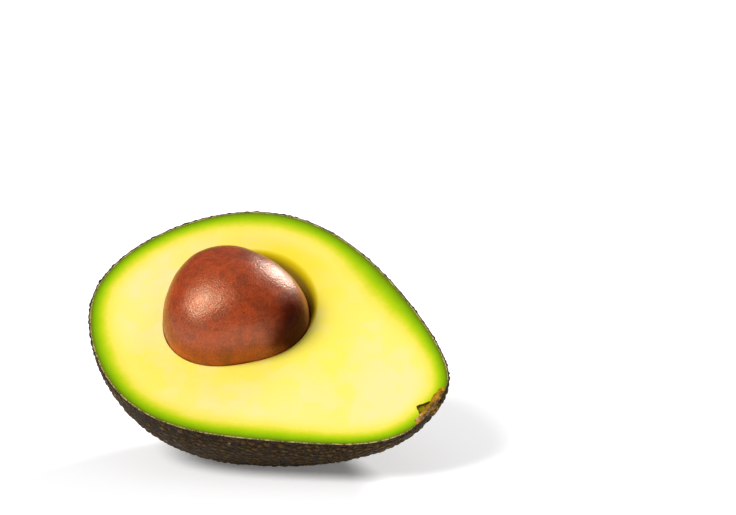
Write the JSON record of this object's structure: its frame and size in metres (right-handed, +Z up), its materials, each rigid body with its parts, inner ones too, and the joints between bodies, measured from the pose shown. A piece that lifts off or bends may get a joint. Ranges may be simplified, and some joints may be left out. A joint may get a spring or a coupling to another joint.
{
  "type": "avocado half",
  "caption": "Half an avocado cut lengthwise, its stone still in the cavity, leaning back on a small flat spot of the pebbled skin.",
  "frame": {"origin": "middle of the small flat spot on the skin that the half rests on", "axes": "+Z up from the surface it lies on, the cut face looks towards -Y and up, the stem end towards +X"},
  "size_m": [0.0951, 0.0717, 0.06],
  "materials": {
    "skin": "satin",
    "flesh": "satin",
    "stone": "satin",
    "cork": "matte"
  },
  "bodies": {
    "root": {"skin": "skin", "flesh": "flesh", "stone": "stone", "stem_button": "cork"}
  },
  "joints": []
}
